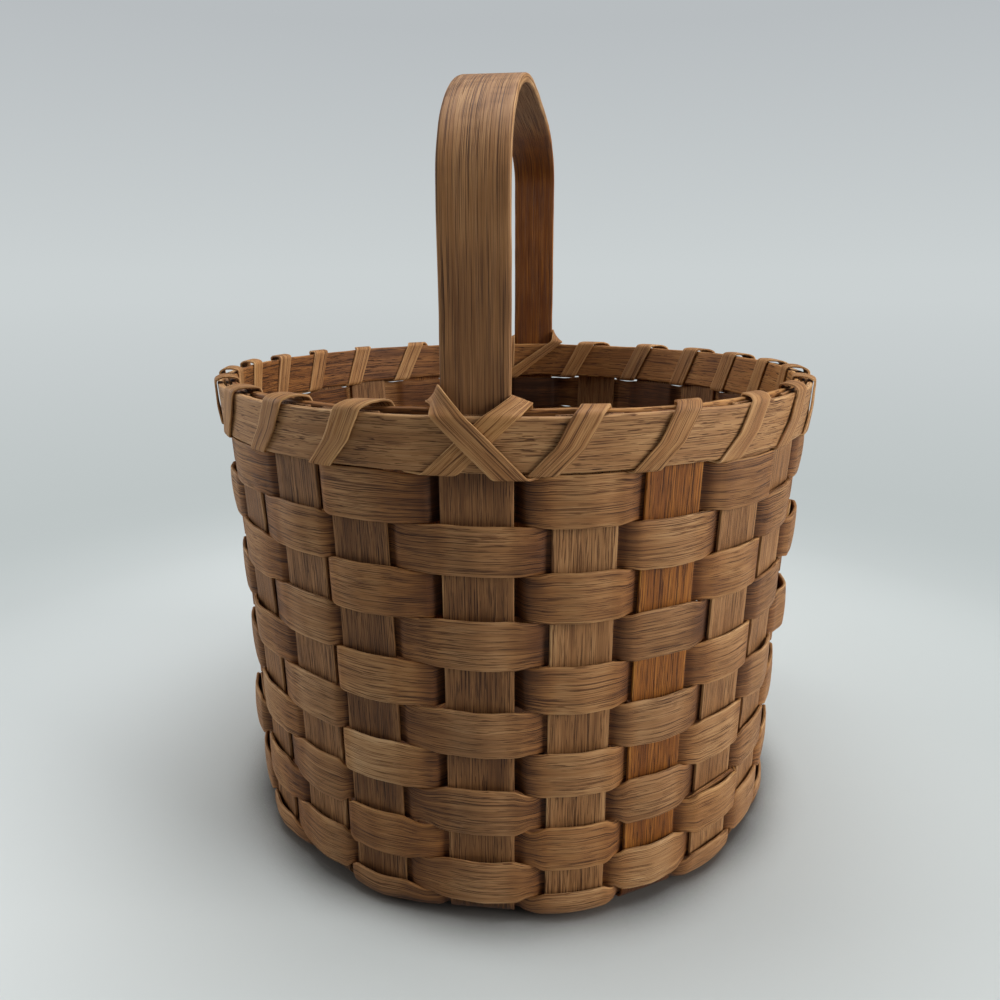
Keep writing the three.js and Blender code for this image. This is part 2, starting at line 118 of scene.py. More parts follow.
def wall_line():
    """The stakes' middle line: out along the base, round the corner and up the flaring wall."""
    corner_start = WALL_RADIUS - CORNER_RADIUS
    wall_bottom = BASE_HEIGHT + CORNER_RADIUS
    flat = np.arange(0.0, corner_start, WALL_STEP)
    turn = np.linspace(0.0, math.pi / 2, 40)
    corner_r = corner_start + CORNER_RADIUS * np.sin(turn)
    corner_z = wall_bottom - CORNER_RADIUS * np.cos(turn)
    height = np.linspace(wall_bottom, RIM_TOP + WALL_SPARE, 300)[1:]
    share = (height - wall_bottom) / (RIM_TOP - wall_bottom)
    flare = np.where(share < 1, share**2, 2 * share - 1)
    r = np.concatenate([flat, corner_r, WALL_RADIUS + WALL_FLARE * flare])
    z = np.concatenate([0 * flat + BASE_HEIGHT, corner_z, height])
    s = np.concatenate([[0.0], np.cumsum(np.hypot(np.diff(r), np.diff(z)))])
    along = np.stack([np.gradient(r, s), np.gradient(z, s)])
    along /= np.hypot(*along)
    return {"s": s, "r": r, "z": z, "out": along[1], "up": -along[0]}


WALL_LINE = wall_line()


def on_line(key, s):
    return np.interp(s, WALL_LINE["s"], WALL_LINE[key])


def length_at(height):
    """The place s at which the wall reaches a height."""
    rising = WALL_LINE["z"] > BASE_HEIGHT + 0.5
    return float(np.interp(height, WALL_LINE["z"][rising], WALL_LINE["s"][rising]))


def around(angle, s, y, n):
    """A point at s and n in the plane at an angle, and y beside that plane."""
    r = on_line("r", s) + n * on_line("out", s)
    z = on_line("z", s) + n * on_line("up", s)
    sin, cos = np.sin(angle), np.cos(angle)
    return np.stack([r * sin + y * cos, y * sin - r * cos, z + 0 * y], axis=-1)


TOP = length_at(RIM_TOP)
UNDER_RIM = length_at(RIM_BOTTOM)


# Curves


def smooth(knots, values, at):
    """A smooth curve through the knots that stays between neighbouring values."""
    span = np.diff(knots)
    rise = np.diff(values) / span
    slope = np.zeros(len(knots))
    same = rise[:-1] * rise[1:] > 0
    total = np.where(same, rise[:-1] + rise[1:], 1.0)
    slope[1:-1] = np.where(same, 2 * rise[:-1] * rise[1:] / total, 0.0)
    i = np.clip(np.searchsorted(knots, at) - 1, 0, len(span) - 1)
    t = np.clip((at - knots[i]) / span[i], 0, 1)
    start = values[i] * (1 + 2 * t) * (1 - t) ** 2 + slope[i] * span[i] * t * (1 - t) ** 2
    end = values[i + 1] * t * t * (3 - 2 * t) - slope[i + 1] * span[i] * t * t * (1 - t)
    return start + end


def interleave(*columns):
    """Takes one value from each column in turn, and drops the very last one, which fills up."""
    return np.stack(columns, axis=1).ravel()[:-1]


def wobble(rng, longest, parts=5):
    """A random wobble of about unit size along a length. A shift moves all its waves."""
    lengths = longest / 1.9 ** np.arange(parts)
    starts = rng.uniform(0, 2 * math.pi, parts)

    def at(x, shift=0.0):
        turns = [2 * math.pi * x / length + start + shift for length, start in zip(lengths, starts)]
        return sum(np.sin(turn) / 1.25**i for i, turn in enumerate(turns)) / math.sqrt(parts)

    return at


KERNEL = np.hanning(13)
KERNEL /= KERNEL.sum()
KERNEL_REACH = len(KERNEL) // 2


# Making a piece

SLOPE_STEP = 0.3  # a sheet's slope is taken from places this far on both sides
WORN_EDGE = 0.7  # width of the paler band along a splint's edges
GRAIN_SHIFT = 7.31  # from the grain of one splint to the grain of the next
TONE_SWING = 0.05


def flat_blank(name, length, width, thickness, along, across, rounding):
    """A flat splint in the XY plane, in parts along and across it, with rounded edges."""
    bpy.ops.object.select_all(action="DESELECT")
    bpy.ops.mesh.primitive_grid_add(x_subdivisions=along, y_subdivisions=across, size=1)
    piece = bpy.context.object
    piece.name = piece.data.name = name
    bpy.ops.object.mode_set(mode="EDIT")
    bpy.ops.mesh.select_all(action="SELECT")
    bpy.ops.transform.resize(value=(length * MM, width * MM, 1))
    bpy.ops.object.mode_set(mode="OBJECT")
    solid = piece.modifiers.new("thickness", "SOLIDIFY")
    solid.thickness = thickness * MM
    solid.offset = 0
    bpy.ops.object.modifier_apply(modifier="thickness")
    bevel = piece.modifiers.new("rounding", "BEVEL")
    bevel.limit_method = "ANGLE"
    bevel.angle_limit = math.radians(60)
    bevel.width = rounding * MM
    bevel.segments = 2
    bpy.ops.object.modifier_apply(modifier="rounding")
    bpy.ops.object.shade_smooth()
    return piece


def bend(piece, sheet, tint, seed, thinning=None):
    """Lays a flat splint on a sheet, which has a place for each (x, y), and notes its looks.

    tint gives a tone, from dark to pale, and a warmth, from brown to orange.
    """
    points = np.empty(3 * len(piece.data.vertices))
    piece.data.vertices.foreach_get("co", points)
    x, y, z = (points.reshape(-1, 3) / MM).T
    forward = sheet(x + SLOPE_STEP, y) - sheet(x - SLOPE_STEP, y)
    sideways = sheet(x, y + SLOPE_STEP) - sheet(x, y - SLOPE_STEP)
    normal = np.cross(forward, sideways)
    normal /= np.linalg.norm(normal, axis=1, keepdims=True)
    depth = z * thinning(x) if thinning else z
    place = sheet(x, y) + depth[:, None] * normal
    piece.data.vertices.foreach_set("co", (place * MM).ravel())
    tone, warmth = tint(x, y)
    edge = np.clip((np.abs(y) - (np.abs(y).max() - WORN_EDGE)) / WORN_EDGE, 0, 1)
    note(piece, "grain", x, y + z, np.full_like(x, seed * GRAIN_SHIFT))
    note(piece, "tint", tone + 0 * x, warmth + 0 * x, edge)
    piece.data.update()


def note(piece, name, *values):
    attribute = piece.data.attributes.new(name, "FLOAT_VECTOR", "POINT")
    attribute.data.foreach_set("vector", np.stack(values, axis=-1).astype(np.float32).ravel())


def finish_piece(piece, node, slot):
    piece.data.materials.clear()
    piece.data.materials.append(FINISHES[slot])
    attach(piece, "root")
    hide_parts(node)


# Materials


class Socket:
    """A node's output that can stand in a sum."""

    def __init__(self, finish, output):
        self.finish, self.output = finish, output

    def maths(self, operation, first, second):
        return self.finish.node("ShaderNodeMath", {"operation": operation}, {0: first, 1: second})

    def __add__(self, other):
        return self.maths("ADD", self, other)

    def __sub__(self, other):
        return self.maths("SUBTRACT", self, other)

    def __rsub__(self, other):
        return self.maths("SUBTRACT", other, self)

    def __mul__(self, other):
        return self.maths("MULTIPLY", self, other)

    def __truediv__(self, other):
        return self.maths("DIVIDE", self, other)

    __radd__ = __add__
    __rmul__ = __mul__


class Finish:
    """The node tree of a material or a world, and the ways to fill it."""

    def __init__(self, owner):
        self.owner = owner
        owner.use_nodes = True
        self.tree = owner.node_tree
        self.tree.nodes.clear()

    def node(self, kind, settings=None, inputs=None, output=0):
        made = self.tree.nodes.new(kind)
        for key, value in (settings or {}).items():
            if key == "stops":
                fill_ramp(made.color_ramp, value)
            else:
                setattr(made, key, value)
        for key, value in (inputs or {}).items():
            if isinstance(value, Socket):
                self.tree.links.new(value.output, made.inputs[key])
            else:
                made.inputs[key].default_value = value
        return Socket(self, made.outputs[output]) if len(made.outputs) else made

    def attribute(self, name):
        return self.node("ShaderNodeAttribute", {"attribute_name": name}, output="Vector")

    def parts(self, vector):
        split = self.node("ShaderNodeSeparateXYZ", {}, {0: vector})
        outputs = split.output.node.outputs
        return [Socket(self, outputs[i]) for i in range(3)]

    def streaks(self, grain, length, width, detail=2.0, rough=0.5):
        """Noise that is stretched along the grain, in millimetres."""
        values = {0: grain, 1: (1 / length, 1 / width, 1.0)}
        stretched = self.node("ShaderNodeVectorMath", {"operation": "MULTIPLY"}, values)
        values = {"Vector": stretched, "Scale": 1.0, "Detail": detail, "Roughness": rough}
        return self.node("ShaderNodeTexNoise", {}, values)

    def step(self, value, low, high):
        values = {"Value": value, "From Min": low, "From Max": high}
        return self.node("ShaderNodeMapRange", {"interpolation_type": "SMOOTHSTEP"}, values)

    def ramp(self, value, stops):
        return self.node("ShaderNodeValToRGB", {"stops": stops}, {"Fac": value})

    def mix(self, share, first, second):
        values = {0: share, 6: first, 7: second}
        return self.node("ShaderNodeMix", {"data_type": "RGBA"}, values, output=2)


def fill_ramp(ramp, stops):
    while len(ramp.elements) < len(stops):
        ramp.elements.new(0.5)
    for element, (place, colour) in zip(ramp.elements, stops):
        element.position = place
        element.color = colour


def paint(red, green, blue):
    """A colour as a screen shows it, from 0 to 255, in the renderer's own scale."""
    shares = (red / 255, green / 255, blue / 255)
    linear = [c / 12.92 if c <= 0.04045 else ((c + 0.055) / 1.055) ** 2.4 for c in shares]
    return (*linear, 1.0)


BROWN = [
    (0.0, paint(50, 26, 10)),
    (0.3, paint(102, 66, 36)),
    (0.55, paint(150, 107, 67)),
    (0.8, paint(184, 142, 98)),
    (1.0, paint(212, 176, 134)),
]
ORANGE = [
    (0.0, paint(56, 26, 4)),
    (0.3, paint(110, 58, 14)),
    (0.55, paint(162, 99, 34)),
    (0.8, paint(194, 136, 60)),
    (1.0, paint(216, 166, 96)),
]

# The marks in the wood: their length and width in millimetres, how much each kind changes the
# tone, and how high it stands. Lines and pores are where their noise passes a step.
FIBRE_SIZE = (14, 0.13)
BAND_SIZE = (60, 1.4)
BLOTCH_SIZE = (24, 7)
LINE_SIZE = (20, 0.27)
PORE_SIZE = (7, 0.2)
STRENGTHS = {"fibre": 0.66, "band": 0.45, "line": 0.34, "pore": 0.34, "blotch": 0.42, "edge": 0.16}
HEIGHTS = {"fibre": 0.6, "band": 0.4, "line": 0.35, "pore": 0.5}
LINE_STEPS = (0.555, 0.605)
LINES_FOLLOW_BANDS = 0.3
PORE_STEPS = (0.63, 0.68)
PORES_FOLLOW_BLOTCHES = 0.4
TONE_LIFT = 0.07


def wood(name, line_size=LINE_SIZE, pore_size=PORE_SIZE, **strengths):
    """Split wood: fine fibres, dark growth lines, open pores, soft bands and blotches."""
    use = STRENGTHS | strengths
    finish = Finish(bpy.data.materials.new(name))
    grain = finish.attribute("grain")
    tone, warmth, edge = finish.parts(finish.attribute("tint"))
    fibres = finish.streaks(grain, *FIBRE_SIZE, detail=3.0, rough=0.65)
    bands = finish.streaks(grain, *BAND_SIZE)
    blotches = finish.streaks(grain, *BLOTCH_SIZE)
    lines = finish.streaks(grain, *line_size, rough=0.6) + LINES_FOLLOW_BANDS * (bands - 0.5)
    lines = finish.step(lines, *LINE_STEPS)
    pores = finish.streaks(grain, *pore_size, detail=1.0) + PORES_FOLLOW_BLOTCHES * (blotches - 0.5)
    pores = finish.step(pores, *PORE_STEPS)
    shade = tone + TONE_LIFT + use["fibre"] * (fibres - 0.5) + use["band"] * (bands - 0.5)
    shade = shade + use["blotch"] * (blotches - 0.5) + use["edge"] * edge
    shade = shade - use["line"] * lines - use["pore"] * pores
    height = fibres * HEIGHTS["fibre"] + bands * HEIGHTS["band"]
    height = height - lines * HEIGHTS["line"] - pores * HEIGHTS["pore"]
    bump = {"Strength": 1.0, "Distance": 0.1 * MM, "Height": height}
    surface = {
        "Base Color": finish.mix(warmth, finish.ramp(shade, BROWN), finish.ramp(shade, ORANGE)),
        "Roughness": 0.6 + 0.25 * (fibres - 0.5) + 0.1 * pores,
        "Specular IOR Level": 0.3,
        "Normal": finish.node("ShaderNodeBump", {}, bump),
    }
    shader = finish.node("ShaderNodeBsdfPrincipled", {}, surface)
    finish.node("ShaderNodeOutputMaterial", {}, {"Surface": shader})
    return finish.owner


FINISHES = {
    "weavers": wood("weaver_splint"),
    "stakes": wood("stake_splint", blotch=0.4, line=0.36),
    "rims": wood("rim_splint", line_size=(16, 0.3), pore_size=(5, 0.26), pore=0.45),
    "handle": wood("handle_wood", line_size=(60, 0.3), pore_size=(30, 0.2), blotch=0.3),
    "lashing": wood("lashing_splint", line_size=(40, 0.3), pore=0.15, blotch=0.3),
}


# Stakes and spokes

HUB_RADIUS = 15.3  # the long spokes lie on each other up to here
HUB_END = 24.0  # and have come down to the base here
SPOKE_ROOM = 0.3
SPOKE_WAIST = 6.6  # width of a long spoke at the middle of the base
ADDED_TIP = 3.6  # width of an added stake where it starts on the base
ADDED_START = 30.5
WIDE_FROM = 89.0
FRONT_STAKE_WIDTH = 18.8
STAKE_SWAY = 0.05

SPOKE_SEED = 100
ADDED_SEED = 120
# A long spoke's tone and warmth, and an added stake's tone
SPOKE_TONES = [(0.34, 0.1), (0.36, 0.95), (0.5, 0.1), (0.4, 0.3), (0.44, 0.0), (0.42, 0.05)]
ADDED_TONES = [0.46, 0.48, 0.42, 0.47, 0.4, 0.5, 0.45, 0.43, 0.5, 0.41, 0.42, 0.32]
ADDED_WARMTH = 0.1

# Painted shade on the stakes where they turn under the basket
UNDERSIDE_SHADE = 0.3
UNDERSIDE_SHADE_TOP = 99.0
UNDERSIDE_SHADE_FADE = 5.0


def stake_width(stake, s):
    narrow = SPOKE_WAIST if stake % 2 == 0 else ADDED_TIP
    wide = FRONT_STAKE_WIDTH if stake == 0 else STAKE_WIDTH
    share = np.clip((s - ADDED_START) / (WIDE_FROM - ADDED_START), 0, 1)
    return narrow + (wide - narrow) * share


def shade_under_basket(s):
    """Painted shade: how much darker the stakes are where they turn under the basket."""
    return UNDERSIDE_SHADE * np.clip((UNDERSIDE_SHADE_TOP - s) / UNDERSIDE_SHADE_FADE, 0, 1)


def stake_blank(name, length, along):
    return flat_blank(name, length, STAKE_WIDTH, STAKE_THICKNESS, along, across=8, rounding=0.2)


def long_spoke(number):
    """A splint that runs up one side, across the base and up the other side."""
    rng = np.random.default_rng(SPOKE_SEED + number)
    right = 2 * number
    left = right + REAR_LEG
    raise_by = -number * (STAKE_THICKNESS + SPOKE_ROOM)
    sway = wobble(rng, 60)

    def sheet(x, y):
        s = np.abs(x)
        side = np.where(x < 0, -1.0, 1.0)
        angle = np.where(x < 0, stake_angle(left), stake_angle(right))
        width = np.where(x < 0, stake_width(left, s), stake_width(right, s))
        hub = np.interp(s, [HUB_RADIUS, HUB_END], [1.0, 0.0])
        across = side * y * width / STAKE_WIDTH
        return around(angle, s, across, raise_by * hub + STAKE_SWAY * sway(x))

    piece = stake_blank(f"spoke_splint_{number + 1}", 2 * TOP, 400)
    tone, warmth = SPOKE_TONES[number]
    tones = wobble(rng, 140)

    def tint(x, y):
        return tone + TONE_SWING * tones(x) - shade_under_basket(np.abs(x)), warmth

    bend(piece, sheet, tint, SPOKE_SEED + number)
    finish_piece(piece, f"long_spoke_{number + 1}", "stakes")


def added_stake(number):
    """A splint that starts on the base between two spokes and runs up the wall."""
    rng = np.random.default_rng(ADDED_SEED + number)
    stake = 2 * number - 1
    length = TOP - ADDED_START
    sway = wobble(rng, 60)

    def sheet(x, y):
        s = x + ADDED_START + length / 2
        across = y * stake_width(stake, s) / STAKE_WIDTH
        return around(stake_angle(stake), s, across, STAKE_SWAY * sway(x))

    piece = stake_blank(f"stake_splint_{number:02d}", length, 170)
    tone = ADDED_TONES[number - 1]
    tones = wobble(rng, 140)

    def tint(x, y):
        return tone + TONE_SWING * tones(x) - shade_under_basket(x + ADDED_START + length / 2), ADDED_WARMTH

    bend(piece, sheet, tint, ADDED_SEED + number)
    finish_piece(piece, f"added_stake_{number:02d}", "stakes")


for number in range(len(SPOKE_TONES)):
    long_spoke(number)
for number in range(1, len(ADDED_TONES) + 1):
    added_stake(number)


# Weavers

ROWS = 12
ROW_HEIGHTS = [129.2, 115.9, 102.8, 89.3, 76.0, 62.6, 49.4, 37.2, 25.0, 13.9]
WALL_PITCH = 13.3
CORNER_PITCH = 11.3
LAST_WIDE_ROW = 7
ROW_ROOM = 0.35
ROW_SEED = 200
ROW_TONES = [0.53, 0.54, 0.55, 0.49, 0.57, 0.53, 0.63, 0.5, 0.54, 0.56, 0.51, 0.49]
ROW_WARMTH = [0.15, 0.1, 0.2, 0.05, 0.15, 0.0, 0.1, 0.05, 0.25, 0.1, 0.05, 0.1]

BASE_ROWS = 6
BASE_WEAVER_WIDTH = 8.57
BASE_EDGE = 74.8
BASE_PITCH = BASE_WEAVER_WIDTH + ROW_ROOM
BASE_SEED = 230

# How far out a strip runs
TAIL_END = UNDER_RIM - TAIL_LENGTH
TAIL_ROOM = 0.3
SWELL = (0.9, 1.6)  # how far the middle of an outside pass stands out
COVERED_SWELL = 0.3  # the share of it that is left where a second lap covers it
LOOPS = {(5, 5): 1.5, (8, 6): 1.2, (3, 1): 0.5}  # more of it at a few passes (row, stake)
EDGE_LIFT = 0.12  # how far an outside pass clears the edges of its stake
SHOULDER = 3.2  # a pass stays outside until this far from the next stake, and then dives
SHOULDER_SHARE = 0.45  # or this share of the gap from it, where the gap is narrow
SHOULDER_LIFT = 0.3
DIVE = 0.4  # where the strip is at a shoulder, before the lift

# The shape of its passes
CROWN_SPREAD = (-0.5, 0.35)  # how far the widths of outside passes differ
CROWN_END = 1.0  # a pass has its full width up to this far from its ends
INSIDE_CROWN = 0.8  # the share of an outside pass's extra width that an inside one has
SHIFT = 0.35  # how far a pass may lie above or below its row
GAP_SHIFT = 0.3  # the share of it in the gaps
CUP = (0.25, 0.55)  # how far the edges of an outside pass curl towards the stake
INSIDE_CUP = -0.15
TILT = 0.22  # how far one edge of a pass may stand out and the other in
LENS_ROOM = 1.5  # cup and tilt fade out this far beyond a pass
RAGGED = 0.09  # how uneven the edges are
RELIEF = 0.05  # how uneven the face is

# Its tones, with painted shade and warm bounce light
PASS_TONES = 0.06
PALE_FROM = 2.1  # this far out a strip has its own tone
HOLLOW_DEPTH = 2.6  # and this much further in it is darkest
# Painted shade and warm bounce light in the hollows, near the ends of passes and beside the
# handle's tail
HOLLOW_SHADE = 0.32
HOLLOW_BOUNCE_WARMTH = 0.35
END_SHADE = 0.05
END_SHADE_WARMTH = 0.1
TAIL_SHADE = 0.22
TAIL_REACH = 9.0


def row_centre(row):
    if row <= len(ROW_HEIGHTS):
        return length_at(ROW_HEIGHTS[row - 1])
    return length_at(ROW_HEIGHTS[-1]) - (row - len(ROW_HEIGHTS)) * CORNER_PITCH


def row_waist(row):
    return (WALL_PITCH if row <= LAST_WIDE_ROW else CORNER_PITCH) - ROW_ROOM


def handle_thickness(s):
    share = np.clip((UNDER_RIM - s) / TAIL_LENGTH, 0, 1)
    return HANDLE_THICKNESS + (TAIL_THICKNESS - HANDLE_THICKNESS) * share


def weave(name, node, row, centre, waist, crown, start, overlap, seed, tone, warmth, stake_step=1):
    """A strip that goes over one stake and behind the next, all round and on over its start.

    centre is its middle on the wall's line. It is crown wide over a stake and waist wide in a gap.
    """
    rng = np.random.default_rng(seed)
    count = STAKES // stake_step
    passes = count + overlap
    radius = on_line("r", centre)
    numbers = np.arange(passes + 1)
    stakes = ((start + numbers) * stake_step) % STAKES
    at = radius * stake_angle((start + numbers) * stake_step)
    outside = (start + numbers + row) % 2 == 0
    tucked = (stakes % REAR_LEG == 0) & (centre + crown / 2 > TAIL_END)
    covered = np.array([stake_width(k, centre) for k in stakes])
    covered = np.where(tucked, np.maximum(HANDLE_WIDTH, covered), covered)
    half = covered / 2 + EDGE_ROOM
    sagitta = (covered / 2) ** 2 / (2 * radius)

    # How far out it runs, in two parts: the second one fades where the strip turns under the base
    flat = np.where(outside, WEAVE_OFFSET, -WEAVE_OFFSET)
    flat = flat - np.where(~outside & (numbers <= overlap), LAYER, 0)
    flat = flat + np.where(outside & (numbers > count), LAYER, 0)
    behind_tail = handle_thickness(centre + crown / 2) + TAIL_ROOM
    behind_tail = np.where(~outside & tucked, behind_tail, 0)
    swell = np.where(outside, rng.uniform(*SWELL, passes + 1), 0.0)
    swell += np.where(outside, [LOOPS.get((row, stake), 0.0) for stake in stakes], 0.0)
    swell[: overlap + 1] *= COVERED_SWELL
    at_edge = np.where(outside, sagitta + EDGE_LIFT, sagitta) - behind_tail
    middle = swell - behind_tail

    before, after = at - half, at + half
    room = np.minimum(SHOULDER, SHOULDER_SHARE * (before[1:] - after[:-1]))
    shoulders = np.where(outside[:-1], before[1:] - room, after[:-1] + room)
    dive = DIVE + LAYER / 2 * (numbers >= count) - LAYER / 2 * (numbers < overlap)
    knots = interleave(before, at, after, np.append(shoulders, 0))
    flat_values = interleave(flat, flat, flat, dive)
    extra_values = interleave(at_edge, middle, at_edge, np.full(passes + 1, SHOULDER_LIFT))

    # Its width, where each pass lies in its row, and how it is cupped and tilted. The covered
    # passes follow those that lie on them.
    gaps = (after[:-1] + before[1:]) / 2
    inside_crown = waist + INSIDE_CROWN * (crown - waist)
    crowns = np.where(outside, crown + rng.uniform(*CROWN_SPREAD, passes + 1), inside_crown)
    width_knots = interleave(before + CROWN_END, after - CROWN_END, np.append(gaps, 0))
    width_values = interleave(crowns, crowns, np.full(passes + 1, waist))
    shift_knots = interleave(at, np.append(gaps, 0))
    gap_share = np.where(np.arange(len(shift_knots)) % 2, GAP_SHIFT, 1.0)
    shift = rng.uniform(-SHIFT, SHIFT, len(shift_knots)) * gap_share
    cup = np.where(outside, rng.uniform(*CUP, passes + 1), INSIDE_CUP)
    tilt = rng.uniform(-TILT, TILT, passes + 1)
    cup[: overlap + 1], tilt[: overlap + 1] = cup[count:], tilt[count:]
    upper, lower = wobble(rng, 23, 6), wobble(rng, 23, 6)
    relief, tones = wobble(rng, 31), wobble(rng, 90)
    pass_tones = rng.uniform(-PASS_TONES, PASS_TONES, passes + 1)

    first, last = before[0], after[-1] - 2 * EDGE_ROOM
    length = last - first
    halfway = (first + last) / 2

    def offset(walked):
        return smooth(knots, flat_values, walked), smooth(knots, extra_values, walked)

    def sheet(x, y):
        walked = x + halfway
        i = np.searchsorted(gaps, walked)
        lens = np.clip(1 - ((walked - at[i]) / (half[i] + LENS_ROOM)) ** 2, 0, 1)
        v = y / (crown / 2)
        ragged = np.where(v > 0, upper(x), lower(x)) * RAGGED * v * v
        width = smooth(width_knots, width_values, walked)
        s = centre + smooth(shift_knots, shift, walked) + v * width / 2 + ragged
        steep = np.clip(on_line("out", s), 0, 1)
        even, extra = offset(walked)
        n = even + steep * extra
        n = n + steep * lens * (tilt[i] * v - cup[i] * v * v)
        n = n + steep * RELIEF * relief(x, 2 * v)
        place = around(walked / radius, s, 0, n)
        place[..., 2] = np.maximum(place[..., 2], WEAVER_THICKNESS / 2)
        return place

    def nearness(walked):
        """How near the strip is to a stake that it dives behind together with the handle's tail,
        for the painted shade beside it.
        """
        dived = np.flatnonzero(tucked & ~outside)
        near = [1 - (np.abs(walked - at[k]) - half[k]) / TAIL_REACH for k in dived]
        return np.clip(np.max([0 * walked, *near], axis=0), 0, 1)

    def tint(x, y):
        """Painted shade: the strip is darker in the hollows, near the ends of its passes and beside
        the handle's tail, and warmer in the hollows and near the ends as painted warm bounce light.
        """
        walked = x + halfway
        i = np.searchsorted(gaps, walked)
        # painted shade and warm bounce light, deepest where the strip lies furthest in
        shaded_hollow = np.clip((PALE_FROM - sum(offset(walked))) / HOLLOW_DEPTH, 0, 1)
        shaded_end = np.clip(2.5 * np.abs(walked - at[i]) / half[i] - 1.5, 0, 1)
        shade = tone + TONE_SWING * tones(x) + smooth(at, pass_tones, walked)
        shade = shade - HOLLOW_SHADE * shaded_hollow - END_SHADE * shaded_end**2
        shade = shade - TAIL_SHADE * nearness(walked)
        warmer = warmth + TONE_SWING * tones(x, 2.0) + HOLLOW_BOUNCE_WARMTH * shaded_hollow
        return shade, warmer + END_SHADE_WARMTH * shaded_end

    across = 10 if crown > 10 else 6
    piece = flat_blank(name, length, crown, WEAVER_THICKNESS, int(length / 0.8), across, 0.22)
    bend(piece, sheet, tint, seed)
    finish_piece(piece, node, "weavers")


def weaver_row(row):
    """A row of the wall. Odd rows have their laps on the right side and even rows on the left."""
    weave(
        f"weaver_splint_{row:02d}",
        f"weaver_row_{row:02d}",
        row,
        centre=row_centre(row),
        waist=row_waist(row),
        crown=WEAVER_WIDTH,
        start=2 + (row - 1) % 8 if row % 2 else 13 + (row - 2) % 8,
        overlap=2 if row <= len(ROW_HEIGHTS) else 0,
        seed=ROW_SEED + row,
        tone=ROW_TONES[row - 1],
        warmth=ROW_WARMTH[row - 1],
    )


def base_weaver(row):
    """A row of the base. The innermost one goes round the long spokes only."""
    weave_row = ROWS + row
    weave(
        f"base_splint_{row}",
        f"base_weaver_{row}",
        weave_row,
        centre=BASE_EDGE - (row - 1) * BASE_PITCH - BASE_WEAVER_WIDTH / 2,
        waist=BASE_WEAVER_WIDTH,
        crown=BASE_WEAVER_WIDTH,
        start=1 + weave_row % 2 + 2 * (row % 3),
        overlap=0,
        seed=BASE_SEED + row,
        tone=0.48,
        warmth=0.1,
        stake_step=2 if row == BASE_ROWS else 1,
    )


for row in range(1, ROWS + 1):
    weaver_row(row)
for row in range(1, BASE_ROWS + 1):
    base_weaver(row)


# Rims

HOOP_RADIUS = 100.0
SCARF_LENGTH = 36.0
SCARF_TIP = 0.2
SCARF_GAP = 0.1
SCARF_FADE = 6.0
RIM_BOW = 0.08
RIM_SWAY = 0.2
RIM_RAGGED = 0.08
RIM_TONE_SWING = 0.06


def rim(name, node, back, lift, scarf_angle, seed, tone, warmth, painted_right_light=0.0, shift_at=None):
    """A splint bent to a hoop, with its thinned ends lying on each other."""
    rng = np.random.default_rng(seed)
    around_once = 2 * math.pi * HOOP_RADIUS
    length = around_once + SCARF_LENGTH
    height = TOP - UNDER_RIM
    sway, bow = wobble(rng, 160, 4), wobble(rng, 120, 4)
    tones, ragged = wobble(rng, 200), wobble(rng, 14)
    start_places = [0, SCARF_LENGTH, SCARF_LENGTH + SCARF_FADE]
    start_faces = [SCARF_TIP, RIM_THICKNESS - SCARF_GAP - SCARF_TIP, RIM_THICKNESS]
    end_places = [around_once - SCARF_FADE, around_once, length]
    end_backs = [0, SCARF_TIP + SCARF_GAP, RIM_THICKNESS - SCARF_TIP]

    def span(x):
        """Where the splint's back and face lie at x, measured from the rim's back."""
        at = x + length / 2
        return np.interp(at, end_places, end_backs), np.interp(at, start_places, start_faces)

    def angle_at(x):
        return scarf_angle + (x + length / 2) / HOOP_RADIUS

    def sheet(x, y):
        start, face = span(x)
        angle = angle_at(x)
        n = back + (start + face) / 2 + RIM_BOW * bow(x) + (shift_at(angle) if shift_at else 0)
        s = (TOP + UNDER_RIM) / 2 + lift + y + RIM_SWAY * sway(x)
        s = s + RIM_RAGGED * ragged(x) * (y / height)
        return around(angle, s, 0, n)

    def thinning(x):
        start, face = span(x)
        return (face - start) / RIM_THICKNESS

    def tint(x, y):
        # Painted light: a rim may be paler on the right, where the side lamp falls, and darker on
        # the left
        shade = tone + RIM_TONE_SWING * tones(x) + painted_right_light * np.sin(angle_at(x))
        return shade, warmth + TONE_SWING * tones(x, 1.0)

    piece = flat_blank(name, length, height, RIM_THICKNESS, along=420, across=10, rounding=0.45)
    bend(piece, sheet, tint, seed, thinning)
    finish_piece(piece, node, "rims")


rim(
    "rim_splint_outer",
    "rim_outer",
    back=OUTER_RIM_BACK,
    lift=0.0,
    scarf_angle=math.radians(200),
    seed=301,
    tone=0.59,
    warmth=0.1,
)
rim(
    "rim_splint_inner",
    "rim_inner",
    back=INNER_RIM_BACK,
    lift=RIM_RISE,
    scarf_angle=math.radians(55),
    seed=302,
    # Darker and warmer than the outer rim: painted shade and warm bounce light inside the basket
    tone=0.41,
    warmth=0.5,
    # painted light, paler on the right side and darker on the left
    painted_right_light=0.11,
    shift_at=inner_rim_shift,
)


# Handle

# How far below the top each bend starts, and how full it is: 2 is an ellipse, and more is squarer
FRONT_BEND = (38.0, 2.4)
REAR_BEND = (24.0, 3.4)
HANDLE_SEED = 400
HANDLE_STEP = 0.5

HANDLE_BOW = 0.06
NARROWING = 0.004

# Places on the handle are measured from its middle, towards the rear
HANDLE_TONE, HANDLE_TONE_SWING, HANDLE_WARMTH = 0.56, 0.04, 0.08
# Painted shade and warm bounce light on the rear leg
REAR_FROM, REAR_FADE, REAR_SHADE, REAR_BOUNCE_WARMTH = 20, 40, 0.27, 0.92
LOW_FROM, LOW_FADE, LOW_SHADE = 95, 35, 0.14
STAIN_PLACE, STAIN_REACH, STAIN_SHADE = -78, 24, 0.2


